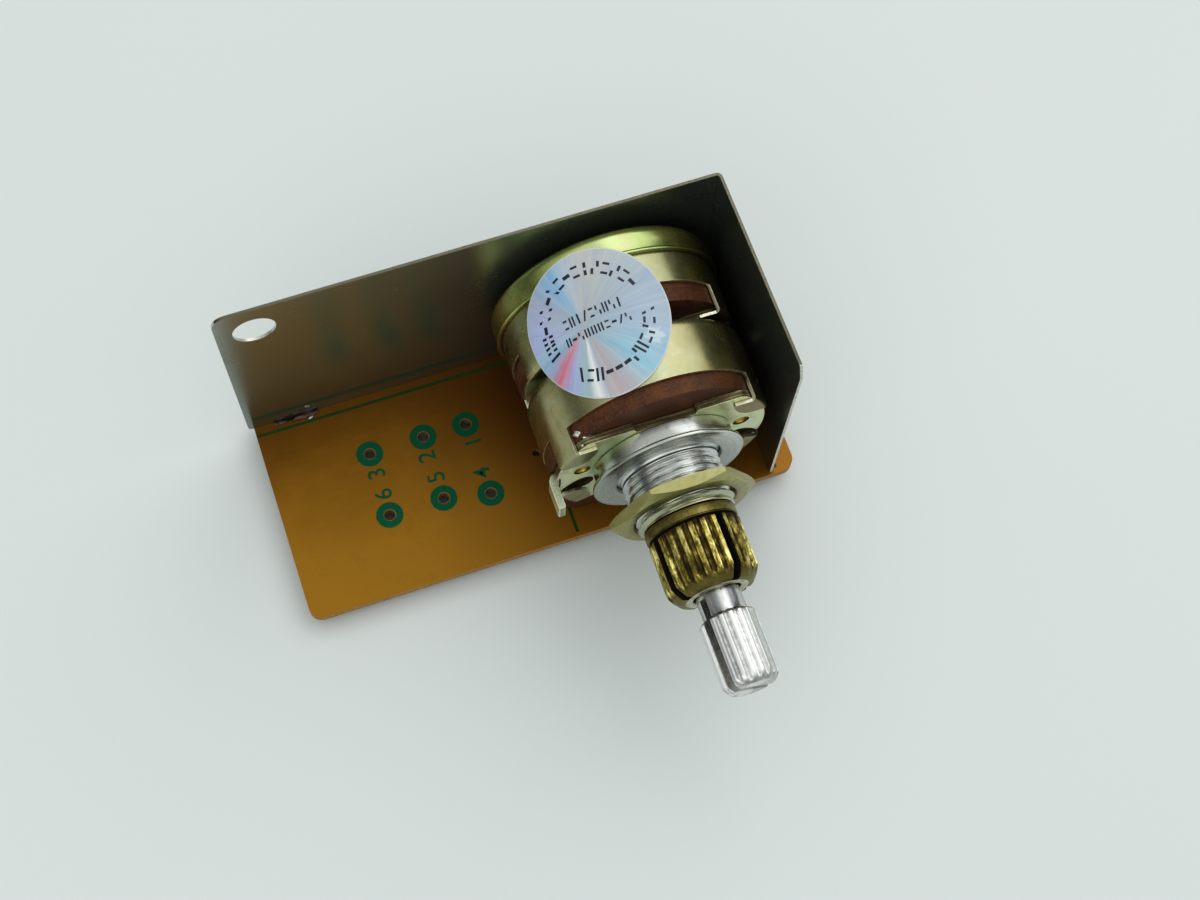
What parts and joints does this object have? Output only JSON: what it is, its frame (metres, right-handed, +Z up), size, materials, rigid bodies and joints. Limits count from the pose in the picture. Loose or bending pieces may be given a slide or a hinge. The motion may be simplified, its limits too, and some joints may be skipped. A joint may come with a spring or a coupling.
{
  "type": "dual concentric potentiometer on board",
  "caption": "Concentric-shaft rotary potentiometer with splined shafts, threaded bushing, washer and hex nut, soldered to a phenolic board behind an L-shaped steel shield.",
  "frame": {"origin": "centre of the bounding box in X and Y, at its bottom, where the soldered tails and tabs end", "axes": "+X along the long shield wall towards the short wall, +Y from the shafts towards the long wall, so the shafts point along -Y, +Z up from the board"},
  "size_m": [0.053, 0.0472, 0.0284],
  "materials": {
    "plated_steel": "satin nickel plating, slightly olive, soft reflections",
    "phenolic_board": "amber paper phenolic with a smooth lacquered top",
    "solder": "bright solder fillet",
    "chromate_plate": "iridescent yellow zinc chromate, satin",
    "chromate_can": "iridescent yellow zinc chromate on drawn steel, satin",
    "aluminium_turned": "turned aluminium with fine tool rings",
    "aluminium_washer": "flat satin aluminium",
    "aluminium_shaft": "bright knurled aluminium with small nicks",
    "nut_plating": "pale yellow passivated steel",
    "phenolic_wafer": "dark red-brown paper phenolic, punched edges",
    "carbon_track": "screen printed carbon",
    "silvered_ring": "silver plated contact ring",
    "rivet_steel": "plain steel",
    "seal_foil": "diffractive silver foil with a clear top coat",
    "tinned_terminal": "tinned brass strip",
    "sleeve_brass": "worn brass, dark grime in the grooves",
    "rotor_moulding": "natural moulded resin",
    "spring_bronze": "phosphor bronze strip",
    "clip_steel": "spring steel"
  },
  "bodies": {
    "chassis": {"shield_bracket": "plated_steel", "circuit_board": "phenolic_board", "front_solder_1": "solder", "front_solder_2": "solder", "front_solder_3": "solder", "rear_solder_1": "solder", "rear_solder_2": "solder", "rear_solder_3": "solder", "tab_solder_left": "solder", "tab_solder_right": "solder", "tab_solder_side": "solder", "front_plate": "chromate_plate", "middle_plate": "chromate_plate", "bushing": "aluminium_turned", "flat_washer": "aluminium_washer", "hex_nut": "nut_plating", "front_can": "chromate_can", "rear_can": "chromate_can", "rear_cover": "chromate_can", "front_wafer": "phenolic_wafer", "rear_wafer": "phenolic_wafer", "front_resistive_track": "carbon_track", "rear_resistive_track": "carbon_track", "front_collector_ring": "silvered_ring", "rear_collector_ring": "silvered_ring", "gang_rivet_left": "rivet_steel", "gang_rivet_right": "rivet_steel", "foil_seal": "seal_foil", "front_terminal_1": "tinned_terminal", "front_terminal_2": "tinned_terminal", "front_terminal_3": "tinned_terminal", "rear_terminal_1": "tinned_terminal", "rear_terminal_2": "tinned_terminal", "rear_terminal_3": "tinned_terminal"},
    "outer_rotor": {"outer_sleeve": "sleeve_brass", "front_rotor": "rotor_moulding", "front_wiper": "spring_bronze", "sleeve_clip": "clip_steel"},
    "inner_rotor": {"inner_shaft": "aluminium_shaft", "rear_rotor": "rotor_moulding", "rear_wiper": "spring_bronze", "shaft_clip": "clip_steel"}
  },
  "joints": [
    {"name": "outer_shaft_turn", "type": "hinge", "parent": "chassis", "child": "outer_rotor", "pos_m": [0.01124, -0.00205, 0.0151], "axis": [0, 1, 0], "range_deg": [-150, 150]},
    {"name": "inner_shaft_turn", "type": "hinge", "parent": "chassis", "child": "inner_rotor", "pos_m": [0.01124, -0.00205, 0.0151], "axis": [0, 1, 0], "range_deg": [-150, 150]}
  ]
}
